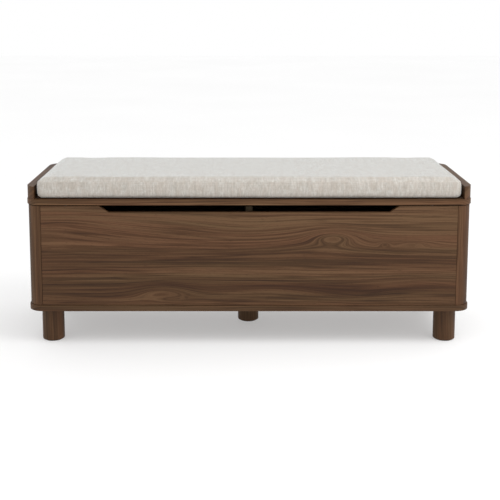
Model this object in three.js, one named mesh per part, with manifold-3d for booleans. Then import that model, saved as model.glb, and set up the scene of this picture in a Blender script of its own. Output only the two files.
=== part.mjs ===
// A storage bench: a long veneered box with rounded corners on five round legs, a lift-up lid
// with two low end rails, and a loose box cushion between them. Millimetres, +Z up, the front
// faces -Y, and the origin is on the floor under the middle of the bench.
import * as THREE from 'three';
import { mergeVertices } from 'three/addons/utils/BufferGeometryUtils.js';
import Module from 'manifold-3d';

const wasm = await Module();
wasm.setup();

// ---------------------------------------------------------------- driving dimensions
const benchWidth = 1200;        // along X, over the lid and the bottom plate
const benchDepth = 400;         // along Y, over the lid and the bottom plate
const plateCornerRadius = 40;   // plan corners of the lid and the bottom plate
const overhang = 3;             // of both plates past the walls, all round
const edgeEase = 1.2;           // small chamfer along board edges
const fit = 0.3;                // glue line or resting gap between two touching pieces
const overcut = 1;              // how far a cutter passes a face, or a joined pin starts inside its plate

const floorToPlate = 95;        // underside of the bottom plate
const bottomThickness = 16;
const wallHeight = 275;
const wallThickness = 16;
const lidGap = 2;               // between the walls and the closed lid
const lidThickness = 15;
const seamGap = 0.6;            // upright joints between panels and corner posts

const slotTopWidth = 806;       // finger slot in the front panel's top edge
const slotBottomWidth = 754;
const slotDepth = 18;
const frontEase = 0.6;          // rounding of the front panel's edges

const dividerThickness = 18;
const dividerDrop = 4;          // of the divider's top below the walls' top

const legDiameter = 60;
const legInsetX = 58;           // leg centre from the plate's end
const legInsetY = 60;           // leg centre from the plate's front or back edge
const centreLegSetback = 30;    // of the middle leg behind the bench's middle
const footEase = 2.5;
const glideDiameter = 50;
const glideHeight = 2;

const boltDiameter = 8;         // machine bolts from inside the box into the legs
const boltDepthInLeg = 45;
const boltHeadDiameter = 16;
const boltHeadHeight = 3.4;
const boltClearance = 0.4;

const railThickness = 22;
const railHeight = 35;
const railInset = 1.5;          // of the rails' outer face from the lid's edge
const railEase = 0.5;
const railScrewDiameter = 4;
const railScrewDepth = 22;      // into the rail
const railScrewHeadDiameter = 9;
const railScrewHeadHeight = 2.5;
const railScrewSpacing = 240;

const stripLength = 220;        // hook-and-loop strips that hold the cushion
const stripWidth = 25;
const stripThickness = 1.4;
const stripInsetX = 190;        // strip centre from the lid's end
const stripInsetY = 75;

const cushionGap = 5.5;         // to each rail
const cushionSetback = 7;       // from the lid's front and back edges
const cushionThickness = 50;
const cushionCornerRadius = 24;
const cushionEdgeRadius = 14;

const hingeLength = 60;
const hingeInsetX = 180;        // outer hinges' centre from the bench's end
const knuckleCount = 5;
const knuckleGap = 0.3;
const knuckleRadius = 3;
const hingePinRadius = 1.5;
const hingePinClearance = 0.15;
const hingePinEnd = 0.8;
const leafThickness = 1.2;
const leafWidth = 13.5;         // from the hinge axis to the leaf's free edge
const leafScrewRadius = 1.7;
const leafScrewInset = 4.5;     // screw hole from the leaf's free edge
const leafScrewSpacing = 40;
const knuckleClearance = 0.5;

const bumperDiameter = 9;
const bumperInsetX = 110;       // front bumpers from the bench's end
const dividerBumperDiameter = 12;
const dividerBumperSpacing = 270;

const stayForward = 77;         // fixed pivot in front of the hinge axis
const stayDrop = 57;            // and below it
const stayLidReach = 110;       // lid pivot in front of the hinge axis
const stayLidDrop = 14;         // and below it
const stayThickness = 2;
const stayPlateExtra = 4;       // how much wider the wall plate is than the arms
const stayBarWidth = 14;
const stayPinRadius = 3;
const stayPinClearance = 0.3;
const openPivotClearance = 0.5; // at the pivot between the upper arm and the lid's bracket
const stayGap = 0.8;            // between neighbouring flat bars
const stayRivetHeadRadius = 5.5;
const stayRivetHeadHeight = 1.4;
const stayFlangeLength = 44;
const stayFlangeWidth = 26;
const stayPlateHeight = 46;

const arcSegments = 5;          // steps per eighth of a turn in plan corners
const roundSegments = 32;       // legs and glides
const smallRoundSegments = 16;  // bolts, pins and barrels

// ---------------------------------------------------------------- levels and faces
const halfWidth = benchWidth / 2;
const halfDepth = benchDepth / 2;
const wallCornerRadius = plateCornerRadius - overhang;
const wallX = halfWidth - overhang;            // outer face of the end panels
const wallY = halfDepth - overhang;            // outer face of the front and back panels
const postX = halfWidth - plateCornerRadius;   // centre of the corner arcs
const postY = halfDepth - plateCornerRadius;
const bottomTop = floorToPlate + bottomThickness;
const wallBottom = bottomTop + fit;
const wallTop = bottomTop + wallHeight;
const lidBottom = wallTop + lidGap;
const lidTop = lidBottom + lidThickness;
const innerX = wallX - wallThickness;
const innerY = wallY - wallThickness;
const hingeY = wallY;                          // hinge axis, in the back walls' outer plane
const hingeZ = wallTop + lidGap / 2;
const legX = halfWidth - legInsetX;
const legY = halfDepth - legInsetY;

// ---------------------------------------------------------------- finishes
const walnut = new THREE.MeshStandardMaterial({ color: 0x5c4433, roughness: 0.55, metalness: 0 });
const walnutTurned = new THREE.MeshStandardMaterial({ color: 0x553d2f, roughness: 0.55, metalness: 0 });
const liner = new THREE.MeshStandardMaterial({ color: 0x4e3a2c, roughness: 0.7, metalness: 0 });
const linen = new THREE.MeshStandardMaterial({ color: 0xd6d2c9, roughness: 0.95, metalness: 0 });
const brass = new THREE.MeshStandardMaterial({ color: 0x8f7a4c, roughness: 0.35, metalness: 1 });
const zinc = new THREE.MeshStandardMaterial({ color: 0x9a9b9d, roughness: 0.35, metalness: 1 });
const blackSteel = new THREE.MeshStandardMaterial({ color: 0x26262a, roughness: 0.45, metalness: 0.9 });
const felt = new THREE.MeshStandardMaterial({ color: 0x3a3532, roughness: 1, metalness: 0 });
const rubber = new THREE.MeshStandardMaterial({ color: 0x55524d, roughness: 0.8, metalness: 0 });
const hookTape = new THREE.MeshStandardMaterial({ color: 0x2c2825, roughness: 0.95, metalness: 0 });

const bench = new THREE.Group();
const carcass = new THREE.Group();
const lid = new THREE.Group();
bench.add(carcass, lid);

// ---------------------------------------------------------------- shape helpers
function place(group, name, geometry, material) {
  const mesh = new THREE.Mesh(geometry, material);
  mesh.name = name;
  group.add(mesh);
}

// A closed geometry as a solid that can be joined and cut.
function solid(geometry) {
  const bare = geometry.clone();
  bare.deleteAttribute('normal');
  bare.deleteAttribute('uv');
  const merged = mergeVertices(bare, 1e-4);
  return new wasm.Manifold(new wasm.Mesh({
    numProp: 3,
    vertProperties: new Float32Array(merged.attributes.position.array),
    triVerts: new Uint32Array(merged.index.array),
  }));
}

function geometryOf(body) {
  const mesh = body.getMesh();
  const geometry = new THREE.BufferGeometry();
  geometry.setAttribute('position', new THREE.BufferAttribute(mesh.vertProperties, 3));
  geometry.setIndex(new THREE.BufferAttribute(mesh.triVerts, 1));
  geometry.computeVertexNormals();
  return geometry;
}

// A box given by its low and high corners.
function block(low, high) {
  const geometry = new THREE.BoxGeometry(high[0] - low[0], high[1] - low[1], high[2] - low[2]);
  return geometry.translate((low[0] + high[0]) / 2, (low[1] + high[1]) / 2, (low[2] + high[2]) / 2);
}

// A cylinder along Z from one level to another, with an optional chamfer at its lower end.
function post(radius, x, y, low, high, segments = smallRoundSegments, ease = 0) {
  const profile = [new THREE.Vector2(0, low), new THREE.Vector2(radius - ease, low)];
  if (ease > 0) profile.push(new THREE.Vector2(radius, low + ease));
  profile.push(new THREE.Vector2(radius, high), new THREE.Vector2(0, high));
  const geometry = new THREE.LatheGeometry(profile, segments);
  return geometry.rotateX(Math.PI / 2).translate(x, y, 0);
}

// A cylinder along X between two places.
function axle(radius, y, z, from, to) {
  const geometry = new THREE.CylinderGeometry(radius, radius, Math.abs(to - from), smallRoundSegments);
  return geometry.rotateZ(Math.PI / 2).translate((from + to) / 2, y, z);
}

// A flat board cut to an outline in the XY plane, with eased edges.
function board(outline, low, high, ease = edgeEase, easeSteps = 1) {
  const geometry = new THREE.ExtrudeGeometry(outline, {
    depth: high - low - 2 * ease,
    bevelEnabled: ease > 0,
    bevelThickness: ease,
    bevelSize: ease,
    bevelOffset: -ease,
    bevelSegments: easeSteps,
    curveSegments: arcSegments,
  });
  return geometry.translate(0, 0, low + ease);
}

// Turns a board drawn in XY so that its outline lies in the XZ plane and its thickness in Y.
function upright(geometry) {
  return geometry.rotateX(Math.PI / 2);
}

// Turns a board drawn in XY so that its outline lies in the YZ plane and its thickness in X.
function sideways(geometry) {
  const turn = new THREE.Matrix4().makeBasis(
    new THREE.Vector3(0, 1, 0), new THREE.Vector3(0, 0, 1), new THREE.Vector3(1, 0, 0));
  return geometry.applyMatrix4(turn);
}

function roundedRectangle(halfX, halfY, radius) {
  const outline = new THREE.Shape();
  outline.absarc(halfX - radius, halfY - radius, radius, 0, Math.PI / 2);
  outline.absarc(radius - halfX, halfY - radius, radius, Math.PI / 2, Math.PI);
  outline.absarc(radius - halfX, radius - halfY, radius, Math.PI, 1.5 * Math.PI);
  outline.absarc(halfX - radius, radius - halfY, radius, 1.5 * Math.PI, 2 * Math.PI);
  outline.closePath();
  return outline;
}

// A flat bar with round ends between two points of its plane.
function barOutline(start, end, width) {
  const angle = Math.atan2(end[1] - start[1], end[0] - start[0]);
  const outline = new THREE.Shape();
  outline.absarc(start[0], start[1], width / 2, angle + Math.PI / 2, angle + 1.5 * Math.PI);
  outline.absarc(end[0], end[1], width / 2, angle - Math.PI / 2, angle + Math.PI / 2);
  outline.closePath();
  return outline;
}

// ---------------------------------------------------------------- legs, glides and their bolts
const legPlaces = [
  ['front_left', -legX, -legY],
  ['front_right', legX, -legY],
  ['back_left', -legX, legY],
  ['back_right', legX, legY],
  ['centre', 0, centreLegSetback],
];
const boltRadius = boltDiameter / 2;
const boltHeadRadius = boltHeadDiameter / 2;
const legTop = floorToPlate - fit;
const boltHeadBottom = bottomTop - fit - boltHeadHeight;
const boltTip = floorToPlate - boltDepthInLeg;

function addLegs() {
  for (const [spot, x, y] of legPlaces) {
    const turned = solid(post(legDiameter / 2, x, y, glideHeight + fit, legTop, roundSegments, footEase));
    const bore = solid(post(boltRadius + boltClearance, x, y, boltTip - boltClearance, legTop + overcut));
    place(carcass, `leg_${spot}`, geometryOf(turned.subtract(bore)), walnutTurned);
    place(carcass, `foot_glide_${spot}`, post(glideDiameter / 2, x, y, 0, glideHeight, roundSegments), felt);
    const shank = solid(post(boltRadius, x, y, boltTip, boltHeadBottom + overcut));
    const head = solid(post(boltHeadRadius, x, y, boltHeadBottom, bottomTop - fit));
    place(carcass, `leg_bolt_${spot}`, geometryOf(shank.add(head)), zinc);
  }
}

// ---------------------------------------------------------------- the box
function addBottomPlate() {
  const outline = roundedRectangle(halfWidth, halfDepth, plateCornerRadius);
  let plate = solid(board(outline, floorToPlate, bottomTop));
  for (const [, x, y] of legPlaces) {
    plate = plate.subtract(solid(post(boltRadius + boltClearance, x, y, floorToPlate - overcut, bottomTop)));
    const recessFloor = boltHeadBottom - fit;
    const recessRadius = boltHeadRadius + boltClearance;
    plate = plate.subtract(solid(post(recessRadius, x, y, recessFloor, bottomTop + overcut)));
  }
  place(carcass, 'bottom_plate', geometryOf(plate), walnut);
}

// Quarter-round posts: each fills the corner between two panels.
function addCornerPosts() {
  for (const [depthWord, sideY] of [['front', -1], ['back', 1]]) {
    for (const [sideWord, sideX] of [['left', -1], ['right', 1]]) {
      const start = sideX > 0 ? (sideY > 0 ? 0 : 1.5 * Math.PI) : (sideY > 0 ? 0.5 * Math.PI : Math.PI);
      const outline = new THREE.Shape();
      outline.moveTo(sideX * postX, sideY * postY);
      outline.absarc(sideX * postX, sideY * postY, wallCornerRadius, start, start + Math.PI / 2);
      outline.closePath();
      place(carcass, `corner_post_${depthWord}_${sideWord}`, board(outline, wallBottom, wallTop, 0), walnut);
    }
  }
}

function addFrontPanel() {
  const half = postX - seamGap;
  const outline = new THREE.Shape([
    [-half, wallBottom], [half, wallBottom], [half, wallTop], [slotTopWidth / 2, wallTop],
    [slotBottomWidth / 2, wallTop - slotDepth], [-slotBottomWidth / 2, wallTop - slotDepth],
    [-slotTopWidth / 2, wallTop], [-half, wallTop],
  ].map(([x, z]) => new THREE.Vector2(x, z)));
  place(carcass, 'front_panel', upright(board(outline, innerY, wallY, frontEase)), walnut);
}

function addBackPanel() {
  const half = postX - seamGap;
  let panel = solid(block([-half, innerY, wallBottom], [half, wallY, wallTop]));
  const mortiseFloor = wallTop - 2 * fit - leafThickness;
  const notch = knuckleRadius + knuckleClearance;
  for (const [, x] of hingePlaces) {
    const reach = hingeLength / 2 + knuckleClearance;
    const leafEdge = hingeY - leafWidth - knuckleClearance;
    const mortiseLow = [x - reach, leafEdge, mortiseFloor];
    panel = panel.subtract(solid(block(mortiseLow, [x + reach, wallY + overcut, wallTop + overcut])));
    const endReach = reach + hingePinEnd;
    const notchLow = [x - endReach, hingeY - notch, hingeZ - notch];
    panel = panel.subtract(solid(block(notchLow, [x + endReach, wallY + overcut, wallTop + overcut])));
  }
  place(carcass, 'back_panel', geometryOf(panel), walnut);
}

function addEndPanels() {
  const half = postY - seamGap;
  for (const [sideWord, side] of [['left', -1], ['right', 1]]) {
    const low = Math.min(side * innerX, side * wallX);
    place(carcass, `end_panel_${sideWord}`,
      block([low, -half, wallBottom], [low + wallThickness, half, wallTop]), walnut);
  }
}

function addDivider() {
  const half = innerY - fit;
  place(carcass, 'centre_divider', block([-dividerThickness / 2, -half, wallBottom],
    [dividerThickness / 2, half, wallTop - dividerDrop]), liner);
}

// Soft bumpers that the closed lid rests on.
function addBumpers() {
  const panelMiddle = -(wallY - wallThickness / 2);
  for (const [sideWord, side] of [['left', -1], ['right', 1]]) {
    const x = side * (halfWidth - bumperInsetX);
    place(carcass, `lid_bumper_${sideWord}`,
      post(bumperDiameter / 2, x, panelMiddle, wallTop + fit, lidBottom - fit), rubber);
  }
  for (const [depthWord, side] of [['front', -1], ['back', 1]]) {
    const y = side * dividerBumperSpacing / 2;
    place(carcass, `divider_bumper_${depthWord}`, post(dividerBumperDiameter / 2, 0, y,
      wallTop - dividerDrop + fit, lidBottom - fit), rubber);
  }
}

// ---------------------------------------------------------------- hinges
const hingePlaces = [
  ['left', hingeInsetX - halfWidth],
  ['centre', 0],
  ['right', halfWidth - hingeInsetX],
];

// One leaf with its share of the knuckles: the odd knuckles are the wall leaf's.
function hingeLeaf(x, low, high, ownsOdd) {
  const pitch = hingeLength / knuckleCount;
  const freeEdge = hingeY - leafWidth;
  const clearEdge = hingeY - knuckleRadius - knuckleClearance;
  let leaf = solid(block([x - hingeLength / 2, freeEdge, low], [x + hingeLength / 2, clearEdge, high]));
  for (let index = 0; index < knuckleCount; index += 1) {
    if ((index % 2 === 0) !== ownsOdd) continue;
    const from = x - hingeLength / 2 + index * pitch + (index > 0 ? knuckleGap / 2 : 0);
    const to = x - hingeLength / 2 + (index + 1) * pitch - (index < knuckleCount - 1 ? knuckleGap / 2 : 0);
    leaf = leaf.add(solid(block([from, clearEdge - overcut, low], [to, hingeY, high])));
    leaf = leaf.add(solid(axle(knuckleRadius, hingeY, hingeZ, from, to)));
  }
  const boreReach = hingeLength / 2 + overcut;
  leaf = leaf.subtract(solid(axle(hingePinRadius + hingePinClearance, hingeY, hingeZ,
    x - boreReach, x + boreReach)));
  for (const side of [-1, 1]) {
    const screwX = x + side * leafScrewSpacing / 2;
    const screwY = freeEdge + leafScrewInset;
    leaf = leaf.subtract(solid(post(leafScrewRadius, screwX, screwY, low - overcut, high + overcut)));
  }
  return geometryOf(leaf);
}

function addHinges() {
  const wallLeafTop = wallTop - fit;
  const lidLeafTop = lidBottom - fit;
  for (const [spot, x] of hingePlaces) {
    const wallLeaf = hingeLeaf(x, wallLeafTop - leafThickness, wallLeafTop, true);
    const lidLeaf = hingeLeaf(x, lidLeafTop - leafThickness, lidLeafTop, false);
    place(carcass, `hinge_wall_leaf_${spot}`, wallLeaf, brass);
    place(lid, `hinge_lid_leaf_${spot}`, lidLeaf, brass);
    const reach = hingeLength / 2 + hingePinEnd;
    place(carcass, `hinge_pin_${spot}`, axle(hingePinRadius, hingeY, hingeZ, x - reach, x + reach), brass);
  }
}

// ---------------------------------------------------------------- lid and rails
const railOuterX = halfWidth - railInset;
const railInnerX = railOuterX - railThickness;
const railMiddleX = (railOuterX + railInnerX) / 2;
const railScrewRadius = railScrewDiameter / 2;
const railScrewHeadRadius = railScrewHeadDiameter / 2;

function addLid() {
  let panel = solid(board(roundedRectangle(halfWidth, halfDepth, plateCornerRadius), lidBottom, lidTop));
  const notch = knuckleRadius + knuckleClearance;
  for (const [, x] of hingePlaces) {
    const reach = hingeLength / 2 + hingePinEnd + knuckleClearance;
    panel = panel.subtract(solid(block([x - reach, hingeY - notch, lidBottom - overcut],
      [x + reach, halfDepth + overcut, hingeZ + notch])));
  }
  for (const sideX of [-1, 1]) {
    for (const sideY of [-1, 1]) {
      const x = sideX * railMiddleX;
      const y = sideY * railScrewSpacing / 2;
      const recessTop = lidBottom + 2 * fit + railScrewHeadHeight;
      panel = panel.subtract(solid(post(railScrewRadius + fit, x, y, lidBottom - overcut, lidTop + overcut)));
      panel = panel.subtract(solid(post(railScrewHeadRadius + fit, x, y, lidBottom - overcut, recessTop)));
    }
  }
  place(lid, 'lid_panel', geometryOf(panel), walnut);
}

// Each rail follows the lid's rounded outline at its ends.
function railOutline(side) {
  const radius = plateCornerRadius - railInset;
  const angle = Math.acos((railInnerX - postX) / radius);
  const outline = new THREE.Shape();
  if (side > 0) {
    outline.absarc(postX, -postY, radius, -angle, 0);
    outline.absarc(postX, postY, radius, 0, angle);
  } else {
    outline.absarc(-postX, postY, radius, Math.PI - angle, Math.PI);
    outline.absarc(-postX, -postY, radius, Math.PI, Math.PI + angle);
  }
  outline.closePath();
  return outline;
}

function addRails() {
  const railBottom = lidTop + fit;
  for (const [sideWord, side] of [['left', -1], ['right', 1]]) {
    let rail = solid(board(railOutline(side), railBottom, lidTop + railHeight, railEase));
    for (const [depthWord, sideY] of [['front', -1], ['back', 1]]) {
      const x = side * railMiddleX;
      const y = sideY * railScrewSpacing / 2;
      const screwTip = railBottom + railScrewDepth;
      const pilot = post(railScrewRadius + fit, x, y, railBottom - overcut, screwTip + overcut);
      rail = rail.subtract(solid(pilot));
      const headBottom = lidBottom + fit;
      const shank = solid(post(railScrewRadius, x, y, headBottom + overcut, screwTip));
      const head = solid(post(railScrewHeadRadius, x, y, headBottom, headBottom + railScrewHeadHeight));
      place(lid, `rail_screw_${depthWord}_${sideWord}`, geometryOf(shank.add(head)), zinc);
    }
    place(lid, `end_rail_${sideWord}`, geometryOf(rail), walnut);
  }
}

// ---------------------------------------------------------------- folding lid stays
// Hinge axis, fixed pivot, elbow and lid pivot are the corners of a parallelogram, so the lower
// arm always turns with the lid and the upper arm keeps its own direction.
const stayAnchor = [hingeY - stayForward, hingeZ - stayDrop];
const stayLidPivot = [hingeY - stayLidReach, hingeZ - stayLidDrop];
const stayElbow = [stayAnchor[0] - stayLidReach, stayAnchor[1] - stayLidDrop];
const stayStep = stayThickness + stayGap;
const rivetSink = 0.1;                              // how far a pin reaches into its head
const stayPlateX = innerX - fit - stayThickness;   // inner face of each layer, from the wall inwards
const stayLowerX = stayPlateX - stayStep;
const stayUpperX = stayLowerX - stayStep;
const stayTabX = stayUpperX - stayStep;

function addStay(sideWord, side) {
  // A flat piece of one layer, and a pin between two places, on either end of the bench.
  const layer = (outline, x) => solid(sideways(board(outline, side > 0 ? x : -x - stayThickness,
    side > 0 ? x + stayThickness : -x, 0)));
  const pin = (radius, spot, from, to) => solid(axle(radius, spot[0], spot[1], side * from, side * to));
  const farSide = innerX + stayStep;
  const nearSide = stayTabX - stayStep;
  const plateHalf = (stayPlateHeight - stayBarWidth) / 2;

  const plateOutline = barOutline([stayAnchor[0], stayAnchor[1] - plateHalf],
    [stayAnchor[0], stayAnchor[1] + plateHalf], stayBarWidth + stayPlateExtra);
  const anchorHeadX = stayLowerX - stayGap / 2;
  const wallPlate = layer(plateOutline, stayPlateX)
    .add(pin(stayPinRadius, stayAnchor, stayPlateX + overcut, anchorHeadX - rivetSink))
    .add(pin(stayRivetHeadRadius, stayAnchor, anchorHeadX - stayRivetHeadHeight, anchorHeadX));
  place(carcass, `stay_wall_plate_${sideWord}`, geometryOf(wallPlate), blackSteel);

  const elbowHeadX = stayUpperX - stayGap / 2;
  const lowerArm = layer(barOutline(stayAnchor, stayElbow, stayBarWidth), stayLowerX)
    .subtract(pin(stayPinRadius + stayPinClearance, stayAnchor, nearSide, farSide))
    .add(pin(stayPinRadius, stayElbow, stayLowerX + overcut, elbowHeadX - rivetSink))
    .add(pin(stayRivetHeadRadius, stayElbow, elbowHeadX - stayRivetHeadHeight, elbowHeadX));
  place(carcass, `stay_lower_arm_${sideWord}`, geometryOf(lowerArm), blackSteel);

  const upperArm = layer(barOutline(stayElbow, stayLidPivot, stayBarWidth), stayUpperX)
    .subtract(pin(stayPinRadius + stayPinClearance, stayElbow, nearSide, farSide))
    .subtract(pin(stayPinRadius + openPivotClearance, stayLidPivot, nearSide, farSide));
  place(carcass, `stay_upper_arm_${sideWord}`, geometryOf(upperArm), blackSteel);

  const flangeTop = lidBottom - fit;
  const tabRoot = [stayLidPivot[0], flangeTop - stayBarWidth / 2];
  const inner = stayTabX + stayThickness - stayFlangeWidth;
  const flange = block(
    [Math.min(side * inner, side * (stayTabX + stayThickness)), stayLidPivot[0] - stayFlangeLength / 2,
      flangeTop - stayThickness],
    [Math.max(side * inner, side * (stayTabX + stayThickness)), stayLidPivot[0] + stayFlangeLength / 2,
      flangeTop]);
  const lidBracket = solid(flange)
    .add(layer(barOutline(stayLidPivot, tabRoot, stayBarWidth), stayTabX))
    .add(pin(stayPinRadius, stayLidPivot, stayTabX + overcut, stayUpperX + stayThickness + stayGap / 2));
  place(lid, `stay_lid_bracket_${sideWord}`, geometryOf(lidBracket), blackSteel);
}

// ---------------------------------------------------------------- cushion and its strips
function addCushion() {
  const stripTop = lidTop + fit + stripThickness;
  for (const [depthWord, sideY] of [['front', -1], ['back', 1]]) {
    for (const [sideWord, sideX] of [['left', -1], ['right', 1]]) {
      const x = sideX * (halfWidth - stripInsetX);
      const y = sideY * (halfDepth - stripInsetY);
      place(lid, `cushion_strip_${depthWord}_${sideWord}`, block(
        [x - stripLength / 2, y - stripWidth / 2, lidTop + fit],
        [x + stripLength / 2, y + stripWidth / 2, stripTop]), hookTape);
    }
  }
  const outline = roundedRectangle(railInnerX - cushionGap, halfDepth - cushionSetback, cushionCornerRadius);
  const cushionBottom = stripTop + fit;
  place(lid, 'seat_cushion',
    board(outline, cushionBottom, cushionBottom + cushionThickness, cushionEdgeRadius, 3), linen);
}

addBottomPlate();
addCornerPosts();
addFrontPanel();
addBackPanel();
addEndPanels();
addDivider();
addBumpers();
addLegs();
addHinges();
addLid();
addRails();
addStay('left', -1);
addStay('right', 1);
addCushion();

export default bench;
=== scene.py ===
import math

import bmesh
import bpy
import numpy as np
from mathutils import Matrix, Vector, noise


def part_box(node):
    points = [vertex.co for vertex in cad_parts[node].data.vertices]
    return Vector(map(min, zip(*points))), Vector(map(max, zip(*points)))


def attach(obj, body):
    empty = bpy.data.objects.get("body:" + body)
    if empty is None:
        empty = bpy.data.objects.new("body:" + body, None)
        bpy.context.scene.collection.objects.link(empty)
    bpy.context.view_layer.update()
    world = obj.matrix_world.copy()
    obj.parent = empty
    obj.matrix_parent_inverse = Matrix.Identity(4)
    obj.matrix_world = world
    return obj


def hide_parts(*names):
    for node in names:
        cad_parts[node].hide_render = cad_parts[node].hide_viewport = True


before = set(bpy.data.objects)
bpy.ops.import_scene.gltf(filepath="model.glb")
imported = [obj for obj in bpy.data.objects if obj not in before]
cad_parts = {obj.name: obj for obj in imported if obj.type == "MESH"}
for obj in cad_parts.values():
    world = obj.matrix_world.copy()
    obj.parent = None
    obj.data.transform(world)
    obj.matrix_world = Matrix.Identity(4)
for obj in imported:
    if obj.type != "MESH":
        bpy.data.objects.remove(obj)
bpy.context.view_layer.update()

MM = 0.001
SIDES = {"left": -1, "right": 1}
CORNERS = {"front_left": (-1, -1), "front_right": (1, -1), "back_left": (-1, 1), "back_right": (1, 1)}
LEG_SPOTS = [*CORNERS, "centre"]
HINGE_SPOTS = ["left", "centre", "right"]

# ------------------------------------------------------------------ sizes that the looks need
PLATE_CORNER = 40 * MM          # plan corners of the lid and the bottom board
PLATE_EASE = 1.6 * MM           # rounding along the edges of both
WALL_EASE = 0.7 * MM            # rounding along the edges of the wall boards
CORNER_STEPS = 18
EASE_STEPS = 3
RAIL_INSET = 1.5 * MM
RAIL_EDGE = 3.2 * MM
LEG_STEPS = 72
FOOT_EDGE = 2.2 * MM
SLOT_TOP = 806 * MM             # finger slot
SLOT_BOTTOM = 754 * MM
SLOT_DEPTH = 18 * MM
POST_ROUND = 0.9995             # of a post's width: its outer corner is all round
SLOT_EASE = 0.9 * MM            # rounding round the front board and its slot
LEG_TOP_EDGE = 0.6 * MM
GLIDE_EDGE = 0.3 * MM
RAIL_END_EDGE = 2.0 * MM
LEVEL_SLACK = 0.001 * MM        # levels closer than this are the same
OVERCUT = 1 * MM                # how far a cutter passes a face
RECESS_PLAY = 0.4 * MM          # round a bolt head or screw head in its recess
BOLT_RECESS = 4 * MM            # depth of the recess round a leg bolt's head
BOLT_HEAD = 3.4 * MM            # height of that head
SOCKET_RADIUS = 3 * MM          # hexagon socket in the head
SOCKET_DEPTH = 2.4 * MM
RAIL_SCREW_RECESS = 2.8 * MM
RAIL_SCREW_HEAD = 2.4 * MM
HINGE_PLAY = 0.5 * MM           # round the hinges, in the boards
LEAF_MORTISE = 1.8 * MM         # depth of the wall leaves' mortise
KNUCKLE_NOTCH = 6.5 * MM        # how far the knuckles' notch reaches under the leaf

CUSHION_SIDE_ROOM = 0.5 * MM    # the pad starts this much inside its place, and swells
CUSHION_TOP_ROOM = 0.5 * MM
CUSHION_CORNER = 13 * MM
CUSHION_EDGE = 11 * MM
CUSHION_VOXEL = 7 * MM
CUSHION_SWELL = 6 * MM          # as far as a point may move
PRESSURE = 4.0
SWELL_FRAMES = 20
HELD_HEIGHT = 1.5 * MM          # the lowest part of the pad is held still
CUSHION_PROUD = (2.5 * MM, 2.5 * MM, 5.5 * MM)  # past its CAD box, sideways, forwards and up
SEAM_PINCH = 1.1 * MM
SEAM_WIDTH = 1.8 * MM
SEAM_LOW = 7 * MM               # seams from the pad's bottom and top
SEAM_HIGH = 9 * MM
PUCKER = 0.35 * MM              # short folds along a seam
DENT_HEIGHT = 0.8 * MM          # soft unevenness of the filling


# ------------------------------------------------------------------ camera, floor and light
CAMERA_PLACE = (-0.0294, -2.8527, 0.9335)
CAMERA_DIP = 8.204              # degrees below level
LENS = 72.86
LENS_SHIFT = (0.0236, -0.21)
KEY_PLACE = (1.7, -1.2, 2.3)    # key light, and where it points
KEY_TARGET = (0.1, 0, 0.35)
KEY_SIZE = (1.5, 1.5)
KEY_WATTS = 34
FLOOR_REACH = 14.0


def make_camera():
    data = bpy.data.cameras.new("camera")
    data.sensor_width = 36.0
    data.lens = LENS
    data.shift_x, data.shift_y = LENS_SHIFT
    data.clip_end = 50.0
    camera = bpy.data.objects.new("camera", data)
    bpy.context.scene.collection.objects.link(camera)
    camera.location = CAMERA_PLACE
    camera.rotation_euler = (math.radians(90 - CAMERA_DIP), 0, 0)
    bpy.context.scene.camera = camera


def make_light(name, place, target, size, watts):
    """A large soft light that points from one place at another."""
    data = bpy.data.lights.new(name, "AREA")
    data.shape = "RECTANGLE"
    data.size, data.size_y = size
    data.energy = watts
    light = bpy.data.objects.new(name, data)
    bpy.context.scene.collection.objects.link(light)
    light.location = place
    light.rotation_euler = (Vector(target) - Vector(place)).to_track_quat("-Z", "Y").to_euler()


def make_world():
    """Even white light from all round."""
    world = bpy.data.worlds.new("studio")
    bpy.context.scene.world = world
    world.use_nodes = True
    sky = world.node_tree.nodes["Background"]
    sky.inputs["Color"].default_value = (1.0, 1.0, 1.0, 1.0)
    sky.inputs["Strength"].default_value = 1.0
    bpy.context.scene.view_settings.view_transform = "Standard"


def make_floor():
    bm = bmesh.new()
    bmesh.ops.create_grid(bm, x_segments=1, y_segments=1, size=FLOOR_REACH)
    mesh = bpy.data.meshes.new("floor")
    bm.to_mesh(mesh)
    bm.free()
    floor = bpy.data.objects.new("floor", mesh)
    bpy.context.scene.collection.objects.link(floor)
    mesh.materials.append(pale_floor())


# ------------------------------------------------------------------ material helpers
def shader(name):
    """A new material, its node tree and its shader."""
    material = bpy.data.materials.new(name)
    material.use_nodes = True
    return material, material.node_tree, material.node_tree.nodes["Principled BSDF"]


def add(tree, kind, inputs=None, **settings):
    """A new node; an input is either another node's output or a constant."""
    node = tree.nodes.new("ShaderNode" + kind)
    for key, value in settings.items():
        setattr(node, key, value)
    for socket, value in (inputs or {}).items():
        if isinstance(value, bpy.types.NodeSocket):
            tree.links.new(value, node.inputs[socket])
        else:
            node.inputs[socket].default_value = value
    return node


def calc(tree, operation, a, b=0.0):
    return add(tree, "Math", {0: a, 1: b}, operation=operation).outputs[0]


def stretch(tree, vector, scale, turn=(0, 0, 0), shift=(0, 0, 0)):
    """Scales, turns and then shifts coordinates."""
    inputs = {"Vector": vector, "Scale": scale, "Rotation": turn, "Location": shift}
    return add(tree, "Mapping", inputs).outputs[0]


def cloud(tree, vector, scale=(1, 1, 1), detail=2.0, roughness=0.5):
    """Noise from 0 to 1 with so many blotches to the metre along each axis."""
    place = stretch(tree, vector, scale)
    inputs = {"Vector": place, "Scale": 1.0, "Detail": detail, "Roughness": roughness}
    return add(tree, "TexNoise", inputs).outputs[0]


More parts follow.
